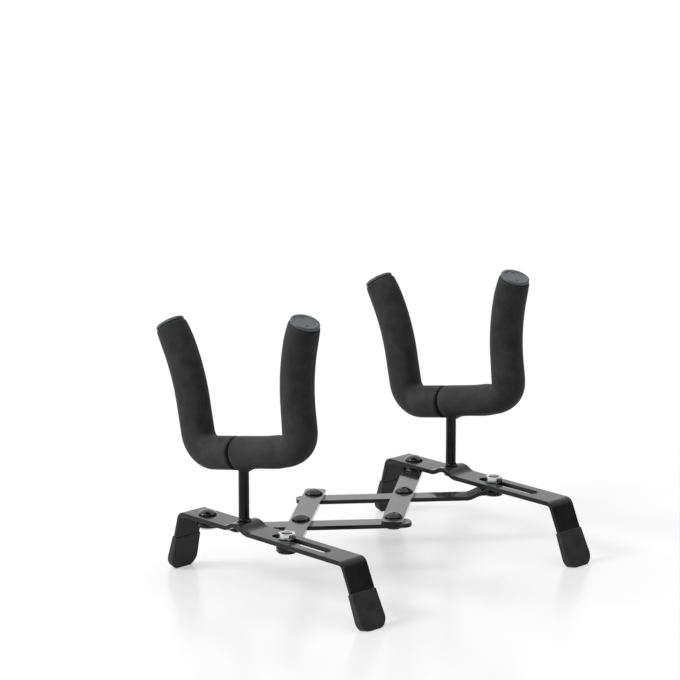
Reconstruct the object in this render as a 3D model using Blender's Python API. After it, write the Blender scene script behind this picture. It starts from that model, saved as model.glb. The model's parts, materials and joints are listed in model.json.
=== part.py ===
# Folding stand for a small instrument: two like side frames on a lazy-tongs linkage.
# Metres, +Z up. The front, toward the listener, faces -Y. X runs across, left frame at -X.
# Each side frame lies in a plane of constant X: its shapes are drawn as (ahead, up), ahead being -Y.

from math import atan2, ceil, cos, degrees, hypot, pi, radians, sin, tan

import bmesh
import bpy
from mathutils import Matrix, Vector

MM = 0.001

# Clearances
GAP = 0.3 * MM                   # between pieces that touch on the real stand
ROUND_STEP = radians(12)         # most turn between two rings of a bend
RUN_STEP = 7 * MM                # most length between them

# Side frames
POST_SPACING = 150 * MM          # left post to right post as the stand is set up
STRIP_WIDTH = 16 * MM
STRIP_THICKNESS = 2.4 * MM
STRIP_TOP = 32.5 * MM            # top face of the strip above the floor
REAR_BEND = 42 * MM              # behind the post, at the corner of the top face
FRONT_BEND = 80.5 * MM           # ahead of the post
REAR_SPLAY = radians(15)         # legs lean out from the vertical
FRONT_SPLAY = radians(24)
LEG_BEND_RADIUS = 3.4 * MM       # at mid thickness
LEG_CORNER = 5 * MM              # the legs' ends are rounded, inside the boots
HUMP_HEIGHT = 2.65 * MM          # the strip arches up under the post, over the rivet's head
HUMP_LENGTH = 18.6 * MM
HUMP_AHEAD = 1.5 * MM            # crest of the arch, ahead of the post
EDGE_BREAK = 0.4 * MM

# Linkage
REAR_PIVOT = 28 * MM             # fixed pivots behind the posts
FRONT_PIVOT = 32 * MM            # sliding pivots ahead of the posts, as the stand is set up
OPENS_BY = radians(4.9)          # further turn of a link to the rear end of the slot
CLOSES_BY = radians(27.4)        # turn of a link to the front end of the slot
LINK_WIDTH = 11 * MM
LINK_THICKNESS = 2.2 * MM
LINK_TAIL = 9.5 * MM             # past the middle rivets
UPPER_LINK_CORNER = 2.5 * MM     # corners of the middle ends
LOWER_LINK_CORNER = 4.5 * MM
JOGGLE_START = 6.5 * MM          # from the pivot, where a lower link starts down
JOGGLE_RUN = 8.3 * MM
JOGGLE_STEPS = 6
RIVET_SHANK = 4.4 * MM
RIVET_HEAD = 9.6 * MM
RIVET_DOME = 2.3 * MM
RIVET_TAIL = 8.2 * MM
RIVET_TAIL_HEIGHT = 0.8 * MM
RIVET_RIM = 0.5 * MM             # straight edge of a dome, and round of a tail

# Pivot bolts: the sliding ones point up through thin nuts, the rear ones down through push nuts
BOLT = 5 * MM
BOLT_HEAD = 9.6 * MM
REAR_BOLT_DOME = 2.4 * MM
SLIDE_BOLT_DOME = 1.2 * MM
BOLT_STANDS_OUT = 0.3 * MM       # bolt end past its nut
BOLT_CHAMFER = 0.5 * MM
NUT_ACROSS_FLATS = 8 * MM
NUT_HEIGHT = 2.7 * MM
NUT_CHAMFER = 0.5 * MM
PUSH_NUT = 8.4 * MM
PUSH_NUT_HEIGHT = 0.9 * MM
PUSH_NUT_SLOPE = 0.4 * MM        # its lower edge is drawn in by this
WASHER = 10 * MM                 # between strip and link
WASHER_THICKNESS = 1 * MM

# Rubber boots
FOOT_WALL = 0.6 * MM
FOOT_FLOOR = 2 * MM              # rubber between the leg's end and the floor
FOOT_LENGTH = 19 * MM            # along the leg, from the floor
FOOT_CORNER = 6 * MM
FOOT_EDGE = 0.4 * MM

# Posts
POST = 5.5 * MM
POST_FLARE = 1.2 * MM            # round where the post's foot spreads onto the strip
POST_RIM = 0.3 * MM              # edge of the spread foot over the crest
POST_RIVET_HEAD = 7.2 * MM       # in the hollow under the post
POST_RIVET_DOME = 1.4 * MM
POST_RIVET_SHANK = 3 * MM
POST_RIVET_REACH = 5 * MM        # up into the post, from the crest

# Cradles
ROD = 5.5 * MM
CRADLE_HEIGHT = 70.6 * MM        # axis of the rod above the floor, over the post
SEAT_SLOPE = radians(10.7)       # the seat rises toward the front
FRONT_ARM = 42.5 * MM            # front corner of the rod ahead of the post
REAR_ARM = 32.5 * MM             # rear corner behind it
FRONT_LEAN = radians(-5)         # arms lean outward from the vertical; the front one leans in
REAR_LEAN = radians(12)
CRADLE_BEND = 11 * MM
ARM_STRAIGHT = 15 * MM           # from the bend to the flare
FLARE_RADIUS = 100 * MM
FLARE_TURN = radians(24)
SLEEVE = 17.5 * MM               # foam sleeve, outside
SLEEVE_TIP = 16.4 * MM           # where the end plug draws it in
SLEEVE_TAPER = 12 * MM
SLEEVE_ROUND = 1.2 * MM
PLUG_STEM = 8 * MM
PLUG_DISC = 15.4 * MM
PLUG_THICKNESS = 1.8 * MM
PLUG_ROUND = 0.7 * MM
PLUG_DISH = 0.5 * MM

# Facets
FINE = 16                        # round the sleeves
MEDIUM = 12                      # round rods, heads and shanks

# Worked out from the sizes above
UNDER_STRIP = STRIP_TOP - STRIP_THICKNESS
CREST = STRIP_TOP + HUMP_HEIGHT
UPPER_LINK_TOP = UNDER_STRIP - WASHER_THICKNESS - 2 * GAP
LINK_STEP = LINK_THICKNESS + GAP
LOWER_LINK_TOP = UPPER_LINK_TOP - LINK_STEP
HALF_SPACING = POST_SPACING / 2
QUARTER_SPACING = POST_SPACING / 4
PIVOT_DEPTH = REAR_PIVOT + FRONT_PIVOT
LINK_REACH = hypot(HALF_SPACING, PIVOT_DEPTH) / 2       # cross rivet to either end pivot
LINK_ANGLE = atan2(HALF_SPACING, PIVOT_DEPTH)           # link from the Y axis
HOLE = BOLT + 2 * GAP
FOOT_WIDTH = STRIP_WIDTH + 2 * (GAP + FOOT_WALL)
FOOT_THICKNESS = STRIP_THICKNESS + 2 * (GAP + FOOT_WALL)
BORE = ROD + 2 * GAP
# Seam between the sleeves, behind the post: the rear sleeve's slanted end just clears it
SLEEVE_SEAM = (POST / 2 + GAP + SLEEVE / 2 * sin(SEAT_SLOPE)) / cos(SEAT_SLOPE)
HUMP_TURN = 2 * atan2(HUMP_HEIGHT, HUMP_LENGTH / 2)     # steepest slope of the arch
HUMP_RADIUS = HUMP_LENGTH / 4 / sin(HUMP_TURN)          # of its crest and its two feet


# Blender helpers

def clear_scene():
    for item in list(bpy.data.objects):
        bpy.data.objects.remove(item, do_unlink=True)


def material(name, colour, roughness, metallic):
    made = bpy.data.materials.new(name)
    made.use_nodes = True
    shader = made.node_tree.nodes["Principled BSDF"]
    shader.inputs["Base Color"].default_value = (*colour, 1)
    shader.inputs["Roughness"].default_value = roughness
    shader.inputs["Metallic"].default_value = metallic
    made.diffuse_color = (*colour, 1)
    return made


def mesh_from(work):
    bmesh.ops.recalc_face_normals(work, faces=work.faces)
    mesh = bpy.data.meshes.new("shape")
    work.to_mesh(mesh)
    work.free()
    return mesh


def carved(mesh, cuts=(), joins=(), within=(), edge=0):
    # Break the edges, then join, trim and cut with other meshes, and keep the result as one mesh
    body = bpy.data.objects.new("body", mesh)
    bpy.context.collection.objects.link(body)
    if edge:
        bevel = body.modifiers.new("edge", "BEVEL")
        bevel.width = edge
        bevel.segments = 1
        bevel.limit_method = "ANGLE"
        bevel.angle_limit = radians(50)
    tools = []
    for operation, shapes in (("UNION", joins), ("INTERSECT", within), ("DIFFERENCE", cuts)):
        for shape in shapes:
            tool = bpy.data.objects.new("tool", shape)
            bpy.context.collection.objects.link(tool)
            tools.append(tool)
            boolean = body.modifiers.new("carve", "BOOLEAN")
            boolean.operation = operation
            boolean.solver = "EXACT"
            boolean.object = tool
    graph = bpy.context.evaluated_depsgraph_get()
    result = bpy.data.meshes.new_from_object(body.evaluated_get(graph))
    for item in [body] + tools:
        bpy.data.objects.remove(item, do_unlink=True)
    return result


def moved(mesh, offset):
    mesh.transform(Matrix.Translation(Vector(offset)))
    return mesh


def pivot(name, location, parent):
    empty = bpy.data.objects.new(name, None)
    bpy.context.collection.objects.link(empty)
    empty.parent = parent
    empty.matrix_world = Matrix.Translation(Vector(location))
    bpy.context.view_layer.update()
    return empty


def place(name, mesh, look, parent, location, turn=0.0):
    piece = bpy.data.objects.new(name, mesh)
    bpy.context.collection.objects.link(piece)
    if not mesh.materials:
        mesh.materials.append(look)
        mesh.shade_smooth()
        mesh.set_sharp_from_angle(angle=radians(35))
    piece.parent = parent
    piece.matrix_world = Matrix.Translation(Vector(location)) @ Matrix.Rotation(turn, 4, "Z")
    return piece


# Shapes

def skin(rings, closed=False):
    # Join rings of as many points with quads, and cap the two ends unless the row is closed
    work = bmesh.new()
    rows = [[work.verts.new(point) for point in ring] for ring in rings]
    count = len(rows[0])
    pairs = list(zip(rows, rows[1:]))
    if closed:
        pairs.append((rows[-1], rows[0]))
    for first, second in pairs:
        for index in range(count):
            after = (index + 1) % count
            work.faces.new((first[index], first[after], second[after], second[index]))
    if not closed:
        work.faces.new(rows[0])
        work.faces.new(rows[-1])
    return mesh_from(work)


def turned(profile, sides=MEDIUM):
    # Solid of revolution about +Z from (radius, height) points between two points on the axis
    work = bmesh.new()
    verts = [work.verts.new((radius, 0, height)) for radius, height in profile]
    edges = [work.edges.new(pair) for pair in zip(verts, verts[1:])]
    bmesh.ops.spin(work, geom=verts + edges, cent=(0, 0, 0), axis=(0, 0, 1), angle=2 * pi,
                   steps=sides, use_duplicate=False)
    bmesh.ops.remove_doubles(work, verts=work.verts, dist=1e-7)
    return mesh_from(work)


def cylinder(radius, bottom, top, at=(0, 0), sides=MEDIUM):
    shape = turned([(0, bottom), (radius, bottom), (radius, top), (0, top)], sides)
    return moved(shape, (at[0], at[1], 0))


def slab(outline, bottom, top):
    # Flat plate from an outline of (x, y) points
    work = bmesh.new()
    base = work.faces.new([work.verts.new((x, y, bottom)) for x, y in outline])
    grown = bmesh.ops.extrude_face_region(work, geom=[base])
    lifted = [item for item in grown["geom"] if isinstance(item, bmesh.types.BMVert)]
    bmesh.ops.translate(work, verts=lifted, vec=(0, 0, top - bottom))
    return mesh_from(work)


def arc(centre, radius, start, turn, steps):
    return [(centre[0] + radius * cos(start + turn * step / steps),
             centre[1] + radius * sin(start + turn * step / steps)) for step in range(steps + 1)]


def stadium(x_start, x_end, radius, steps=8):
    # Outline of a bar with round ends, along X
    return (arc((x_end, 0), radius, -pi / 2, pi, steps)
            + arc((x_start, 0), radius, pi / 2, pi, steps))


# Routes in a side frame's plane: straight runs and arcs, each a (length, turn) pair

def bend(radius, turn):
    return (abs(radius * turn), turn)


def follow(start, heading, moves, distance):
    # Point and heading at a distance along the route; past its end the route runs straight on
    ahead, up = start
    for length, turn in list(moves) + [(float("inf"), 0)]:
        step = min(distance, length)
        turned_by = 0 if turn == 0 else turn * step / length
        if turn == 0:
            ahead += step * cos(heading)
            up += step * sin(heading)
        else:
            radius = length / turn
            ahead += radius * (sin(heading + turned_by) - sin(heading))
            up += radius * (cos(heading) - cos(heading + turned_by))
        heading += turned_by
        distance -= step
        if distance <= 0:
            break
    return (ahead, up), heading


def stations(moves):
    # Distances that a ring is needed at: the ends of each run, and steps round each arc
    found = [0.0]
    for length, turn in moves:
        steps = 1 if turn == 0 else max(ceil(abs(turn) / ROUND_STEP), ceil(length / RUN_STEP))
        found += [found[-1] + length * step / steps for step in range(1, steps + 1)]
    return found


def rounded_ends(length, corner):
    # Distances that a bar's rounded ends need rings at
    near = [corner * (1 - cos(radians(30 * step))) for step in range(1, 4)]
    return near + [length - distance for distance in near]


def flat_bar(start, heading, moves, width, thickness, corner):
    # A flat bar across X along a route, as four-cornered rings, with rounded corners at its ends
    rings = []
    spots = stations(moves)
    length = spots[-1]
    inner = [spot for spot in spots if corner < spot < length - corner]
    for distance in sorted([0, length] + rounded_ends(length, corner) + inner):
        (ahead, up), angle = follow(start, heading, moves, distance)
        half = thickness / 2
        high = (ahead - half * sin(angle), up + half * cos(angle))
        low = (ahead + half * sin(angle), up - half * cos(angle))
        short = max(0, corner - min(distance, length - distance))
        side = width / 2 - corner + (corner ** 2 - short ** 2) ** 0.5
        rings.append([(-side, -high[0], high[1]), (side, -high[0], high[1]),
                      (side, -low[0], low[1]), (-side, -low[0], low[1])])
    return skin(rings)


# The cradle's route: distances run from the post, ahead positive and behind negative

def seat_run(corner, turn):
    # Straight run along the seat from the post to the start of the bend at a corner
    return corner / cos(SEAT_SLOPE) - CRADLE_BEND * tan(abs(turn) / 2)


FRONT_TURN = pi / 2 - FRONT_LEAN - SEAT_SLOPE
REAR_TURN = -(pi / 2 - REAR_LEAN + SEAT_SLOPE)
FRONT_MOVES = [(seat_run(FRONT_ARM, FRONT_TURN), 0), bend(CRADLE_BEND, FRONT_TURN),
               (ARM_STRAIGHT, 0), bend(FLARE_RADIUS, -FLARE_TURN)]
REAR_MOVES = [(seat_run(REAR_ARM, REAR_TURN), 0), bend(CRADLE_BEND, REAR_TURN),
              (ARM_STRAIGHT, 0), bend(FLARE_RADIUS, FLARE_TURN)]
FRONT_LENGTH = sum(length for length, turn in FRONT_MOVES)
REAR_LENGTH = sum(length for length, turn in REAR_MOVES)


def cradle_ring(distance, radius, sides):
    # Ring of points round the cradle's route, square to it
    if distance >= 0:
        (ahead, up), angle = follow((0, CRADLE_HEIGHT), SEAT_SLOPE, FRONT_MOVES, distance)
    else:
        (ahead, up), angle = follow((0, CRADLE_HEIGHT), pi + SEAT_SLOPE, REAR_MOVES, -distance)
        angle -= pi
    ring = []
    for side in range(sides):
        around = 2 * pi * side / sides
        lift = radius * cos(around)
        ring.append((radius * sin(around), -(ahead - lift * sin(angle)), up + lift * cos(angle)))
    return ring


def cradle_stations(first, last):
    inner = [-distance for distance in stations(REAR_MOVES)] + stations(FRONT_MOVES)
    return sorted({round(d, 7) for d in inner if first + MM < d < last - MM} | {first, last})


def cradle_solid(profile, sides, closed=False):
    return skin([cradle_ring(distance, radius, sides) for distance, radius in profile], closed)


def round_end(edge, outward, radius, amount):
    # Profile points that round a sleeve's end, from its wall to its end face
    return [(edge - outward * amount, radius), (edge - outward * amount * 0.3, radius - amount * 0.3),
            (edge, radius - amount)]


def sleeve(first, last, first_radius, last_radius):
    # Foam tube on the cradle rod; a radius smaller than the sleeve's own is a drawn-in tip
    full = SLEEVE / 2
    body = []
    for distance in cradle_stations(first, last):
        radius = full
        for end, end_radius in ((first, first_radius), (last, last_radius)):
            share = 1 - min(1, abs(distance - end) / SLEEVE_TAPER)
            radius -= (full - end_radius) * share * share
        body.append((distance, radius))
    outside = (round_end(first, -1, first_radius, SLEEVE_ROUND)[::-1] + body[1:-1]
               + round_end(last, 1, last_radius, SLEEVE_ROUND))
    inside = [(distance, BORE / 2) for distance in reversed(cradle_stations(first, last))]
    hole = cylinder(POST / 2 + GAP, CRADLE_HEIGHT - SLEEVE, CRADLE_HEIGHT - 2 * GAP)
    tube = cradle_solid(outside + inside, FINE, closed=True)
    return carved(tube, cuts=[hole]) if first < 0 < last else tube


def plug(tip, outward):
    # Disc on the sleeve's end with a stem in its bore, shaped along the route's end
    face = tip + outward * GAP
    rim = PLUG_DISC / 2
    top = face + outward * PLUG_THICKNESS
    profile = [(tip - outward * PLUG_STEM, ROD / 2), (face, ROD / 2), (face, rim),
               (top - outward * PLUG_ROUND, rim), (top, rim - PLUG_ROUND), (top, rim - 2 * PLUG_ROUND),
               (top - outward * PLUG_DISH, rim - 3 * PLUG_ROUND)]
    return cradle_solid(profile, FINE)


# Pieces of a side frame, drawn about the foot of its post

HUMP_MOVES = [bend(HUMP_RADIUS, HUMP_TURN), bend(HUMP_RADIUS, -2 * HUMP_TURN), bend(HUMP_RADIUS, HUMP_TURN)]


def base_strip():
    mid = STRIP_TOP - STRIP_THICKNESS / 2
    half = STRIP_THICKNESS / 2
    rear_turn = pi / 2 - REAR_SPLAY
    front_turn = pi / 2 - FRONT_SPLAY
    rear_tangent = LEG_BEND_RADIUS * tan(rear_turn / 2)
    front_tangent = LEG_BEND_RADIUS * tan(front_turn / 2)
    # The bends are given at the top face, half a thickness out from the mid line's corners
    rear_corner = REAR_BEND - half * tan(rear_turn / 2)
    front_corner = FRONT_BEND - half * tan(front_turn / 2)
    rear_leg = leg_length(REAR_SPLAY, mid) - rear_tangent
    front_leg = leg_length(FRONT_SPLAY, mid) - front_tangent
    rear_run = rear_corner - rear_tangent - HUMP_LENGTH / 2 + HUMP_AHEAD
    front_run = front_corner - front_tangent - HUMP_LENGTH / 2 - HUMP_AHEAD
    moves = [(rear_leg, 0), bend(LEG_BEND_RADIUS, -rear_turn), (rear_run, 0), *HUMP_MOVES,
             (front_run, 0), bend(LEG_BEND_RADIUS, -front_turn), (front_leg, 0)]
    heading = rear_turn
    start = (-rear_corner - (rear_leg + rear_tangent) * cos(heading),
             mid - (rear_leg + rear_tangent) * sin(heading))
    bar = flat_bar(start, heading, moves, STRIP_WIDTH, STRIP_THICKNESS, LEG_CORNER)
    below, above = UNDER_STRIP - STRIP_THICKNESS, CREST + STRIP_THICKNESS
    slot_rear, slot_front = slot_ends()
    slot = slab([(y, -x) for x, y in stadium(slot_rear, slot_front, HOLE / 2)], below, above)
    holes = [cylinder(HOLE / 2, below, above, (0, REAR_PIVOT)),
             cylinder(POST_RIVET_SHANK / 2 + GAP, below, above), slot]
    return carved(bar, cuts=holes, edge=EDGE_BREAK)


def beside_arch(offset, level):
    # Solid between a flat level and the arch's mid line, the latter moved square to itself
    start = (HUMP_AHEAD - HUMP_LENGTH / 2, STRIP_TOP - STRIP_THICKNESS / 2)
    rings = []
    for distance in stations(HUMP_MOVES):
        (ahead, up), angle = follow(start, 0, HUMP_MOVES, distance)
        ahead -= offset * sin(angle)
        up += offset * cos(angle)
        rings.append([(-STRIP_WIDTH, -ahead, up), (STRIP_WIDTH, -ahead, up),
                      (STRIP_WIDTH, -ahead, level), (-STRIP_WIDTH, -ahead, level)])
    return skin(rings)


def leg_length(splay, mid):
    # From the bend's corner at mid thickness to the leg's end inside its boot
    return (mid - FOOT_FLOOR - STRIP_THICKNESS / 2 * sin(splay)) / cos(splay)


def slot_ends():
    # Distances ahead of the post of the slot's two end centres, where the sliding bolt stops
    open_depth = 2 * LINK_REACH * cos(LINK_ANGLE + OPENS_BY)
    shut_depth = 2 * LINK_REACH * cos(LINK_ANGLE - CLOSES_BY)
    return open_depth - REAR_PIVOT, shut_depth - REAR_PIVOT


def boot_outline(half, bottom, top, corner):
    # Outline with two rounded corners at the bottom
    return (arc((half - corner, bottom + corner), corner, -pi / 2, pi / 2, 5)
            + [(half, top), (-half, top)]
            + arc((corner - half, bottom + corner), corner, pi, pi / 2, 5))


def foot(corner, splay, outward):
    # Rubber boot on a leg. It is drawn flat as (x, distance up the leg) and then leaned
    sole = -FOOT_THICKNESS / 2 * tan(splay)
    half = FOOT_WIDTH / 2
    boot = slab(boot_outline(half, sole, FOOT_LENGTH, FOOT_CORNER), -FOOT_THICKNESS / 2, FOOT_THICKNESS / 2)
    mid = STRIP_TOP - STRIP_THICKNESS / 2
    leg_end = mid / cos(splay) - leg_length(splay, mid)
    inner_width = STRIP_WIDTH / 2 + GAP
    inner = STRIP_THICKNESS / 2 + GAP
    pocket = slab(boot_outline(inner_width, leg_end - GAP, FOOT_LENGTH + inner, LEG_CORNER + GAP),
                  -inner, inner)
    # Stand the drawing up, lean it outward and set it where the leg meets the floor
    upright = Matrix.Rotation(pi / 2, 4, "X")
    lean = Matrix.Rotation(splay if outward > 0 else -splay, 4, "X")
    at = outward * (corner + mid * tan(splay))
    into_place = Matrix.Translation((0, -at, 0)) @ lean.inverted() @ upright
    boot.transform(into_place)
    pocket.transform(into_place)
    floor = slab([(-half - MM, -at - FOOT_LENGTH), (half + MM, -at - FOOT_LENGTH),
                  (half + MM, -at + FOOT_LENGTH), (-half - MM, -at + FOOT_LENGTH)], -FOOT_LENGTH, 0)
    return carved(boot, cuts=[pocket, floor], edge=FOOT_EDGE)


def foot_corner(distance, splay):
    # Where the mid line of the strip turns, from the bend on the top face
    return distance - STRIP_THICKNESS / 2 * tan((pi / 2 - splay) / 2)


def post():
    # Round rod that spreads a little onto the arch, and is shaped to it and to the cradle rod
    radius = POST / 2
    foot_top = CREST + GAP + POST_RIM
    flare = arc((radius + POST_FLARE, foot_top + POST_FLARE), POST_FLARE, -pi / 2, -pi / 2, 3)
    rod = turned([(0, UNDER_STRIP), (radius + POST_FLARE, UNDER_STRIP), *flare,
                  (radius, CRADLE_HEIGHT), (0, CRADLE_HEIGHT)])
    rod_space = cradle_solid([(-POST, ROD / 2 + GAP), (POST, ROD / 2 + GAP)], MEDIUM)
    arch = beside_arch(STRIP_THICKNESS / 2 + GAP, UNDER_STRIP - GAP)
    hole = cylinder(POST_RIVET_SHANK / 2 + GAP, UNDER_STRIP, CREST + POST_RIVET_REACH + GAP)
    return carved(rod, cuts=[rod_space, arch, hole])


def post_rivet():
    # Its head fills the hollow under the arch, and its shank goes up into the post
    head = POST_RIVET_HEAD / 2
    low = [(radius, 2 * UNDER_STRIP - height) for radius, height in dome(head, UNDER_STRIP, POST_RIVET_DOME)]
    cap = turned(low[::-1] + [(head, CREST), (0, CREST)])
    seated = carved(cap, cuts=[beside_arch(-STRIP_THICKNESS / 2 - GAP, CREST + GAP)])
    shank = cylinder(POST_RIVET_SHANK / 2, UNDER_STRIP, CREST + POST_RIVET_REACH)
    return carved(seated, joins=[shank])


def dome(radius, foot_height, height, steps=4):
    # Profile of a spherical cap from its rim to its top
    sphere = (radius ** 2 + height ** 2) / (2 * height)
    half_angle = atan2(radius, sphere - height)
    return [(sphere * sin(half_angle * (1 - step / steps)),
             foot_height + height - sphere + sphere * cos(half_angle * (1 - step / steps)))
            for step in range(steps + 1)]


def rivet():
    # Tail below the lower link, shank, and a domed head on the upper link
    tail, tail_top = RIVET_TAIL / 2, LOWER_LINK_TOP - LINK_THICKNESS - GAP
    tail_bottom = tail_top - RIVET_TAIL_HEIGHT
    head, head_bottom = RIVET_HEAD / 2, UPPER_LINK_TOP + GAP
    profile = [(0, tail_bottom), (tail - RIVET_RIM, tail_bottom), (tail, tail_bottom + RIVET_RIM),
               (tail, tail_top), (RIVET_SHANK / 2, tail_top), (RIVET_SHANK / 2, head_bottom),
               (head, head_bottom)]
    return turned(profile + dome(head, head_bottom + RIVET_RIM, RIVET_DOME - RIVET_RIM))


def bolt(seat, end, height):
    # Domed head at one end, from its seat outward, and a chamfered shank to the other end
    outward = 1 if seat > end else -1
    head, shank = BOLT_HEAD / 2, BOLT / 2
    cap = [(radius, seat + outward * rise) for radius, rise in dome(head, RIVET_RIM, height - RIVET_RIM)]
    return turned([(0, end), (shank - BOLT_CHAMFER, end), (shank, end + outward * BOLT_CHAMFER),
                   (shank, seat), (head, seat)] + cap)


def rear_bolt():
    # Down through strip, washer, link and push nut
    low = UPPER_LINK_TOP - LINK_THICKNESS - GAP - PUSH_NUT_HEIGHT - BOLT_STANDS_OUT
    return bolt(STRIP_TOP + GAP, low, REAR_BOLT_DOME)


def slide_bolt():
    # Up through link, washer, slot and nut
    return bolt(UPPER_LINK_TOP - LINK_THICKNESS - GAP, STRIP_TOP + GAP + NUT_HEIGHT + BOLT_STANDS_OUT,
                SLIDE_BOLT_DOME)


def ring(profile):
    # Solid of revolution with the bolt's hole through it
    heights = [height for radius, height in profile]
    return carved(turned(profile), cuts=[cylinder(HOLE / 2, min(heights) - MM, max(heights) + MM)])


def washer():
    bottom, top = UPPER_LINK_TOP + GAP, UNDER_STRIP - GAP
    return ring([(0, bottom), (WASHER / 2, bottom), (WASHER / 2, top), (0, top)])


def push_nut():
    # Thin round nut pushed onto the rear bolt, under the link
    top = UPPER_LINK_TOP - LINK_THICKNESS - GAP
    low = top - PUSH_NUT_HEIGHT
    edge = PUSH_NUT / 2
    return ring([(0, low), (edge - PUSH_NUT_SLOPE, low), (edge, (low + top) / 2), (edge, top), (0, top)])


def nut():
    # Thin hexagon on the strip, its corners chamfered by a cone at the top and the bottom
    bottom = STRIP_TOP + GAP
    top = bottom + NUT_HEIGHT
    flat = NUT_ACROSS_FLATS / 2
    corner = flat / cos(pi / 6)
    hexagon = slab([(corner * cos(pi / 3 * side), corner * sin(pi / 3 * side)) for side in range(6)],
                   bottom, top)
    wide = flat + NUT_ACROSS_FLATS
    cone = turned([(0, bottom - NUT_CHAMFER), (flat - NUT_CHAMFER, bottom - NUT_CHAMFER),
                   (wide, bottom + NUT_CHAMFER), (wide, top - NUT_CHAMFER),
                   (flat - NUT_CHAMFER, top + NUT_CHAMFER), (0, top + NUT_CHAMFER)], 2 * MEDIUM)
    hole = cylinder(HOLE / 2, bottom - BOLT, top + BOLT)
    return carved(hexagon, within=[cone], cuts=[hole])


# Links, drawn along X about the cross rivet's axis

def link_outline(corner):
    # Round at the strip's end, and square with rounded corners past the middle rivet
    half = LINK_WIDTH / 2
    inner = LINK_REACH + LINK_TAIL - corner
    return (arc((inner, corner - half), corner, -pi / 2, pi / 2, 4)
            + arc((inner, half - corner), corner, 0, pi / 2, 4)
            + arc((-LINK_REACH, 0), half, pi / 2, pi, 8))


def link(joggled):
    # Flat bar. A lower link's end at -X steps up to lie under its strip
    top = LOWER_LINK_TOP if joggled else UPPER_LINK_TOP
    outline = link_outline(LOWER_LINK_CORNER if joggled else UPPER_LINK_CORNER)
    plate = slab(outline, top - LINK_THICKNESS, top)
    if joggled:
        work = bmesh.new()
        work.from_mesh(plate)
        low = -LINK_REACH + JOGGLE_START + JOGGLE_RUN
        for step in range(JOGGLE_STEPS + 1):
            bmesh.ops.bisect_plane(work, geom=work.verts[:] + work.edges[:] + work.faces[:],
                                   plane_co=(low - JOGGLE_RUN * step / JOGGLE_STEPS, 0, 0), plane_no=(1, 0, 0))
        for vert in work.verts:
            share = min(1, max(0, (low - vert.co.x) / JOGGLE_RUN))
            vert.co.z += LINK_STEP * (1 - cos(pi * share)) / 2
        plate = mesh_from(work)
    below, above = LOWER_LINK_TOP - LINK_STEP, UNDER_STRIP + LINK_STEP
    strip_hole = cylinder(HOLE / 2, below, above, (-LINK_REACH, 0))
    rivet_holes = [cylinder(RIVET_SHANK / 2 + GAP, below, above, (x, 0)) for x in (0, LINK_REACH)]
    return carved(plate, cuts=[strip_hole] + rivet_holes, edge=EDGE_BREAK)


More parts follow.
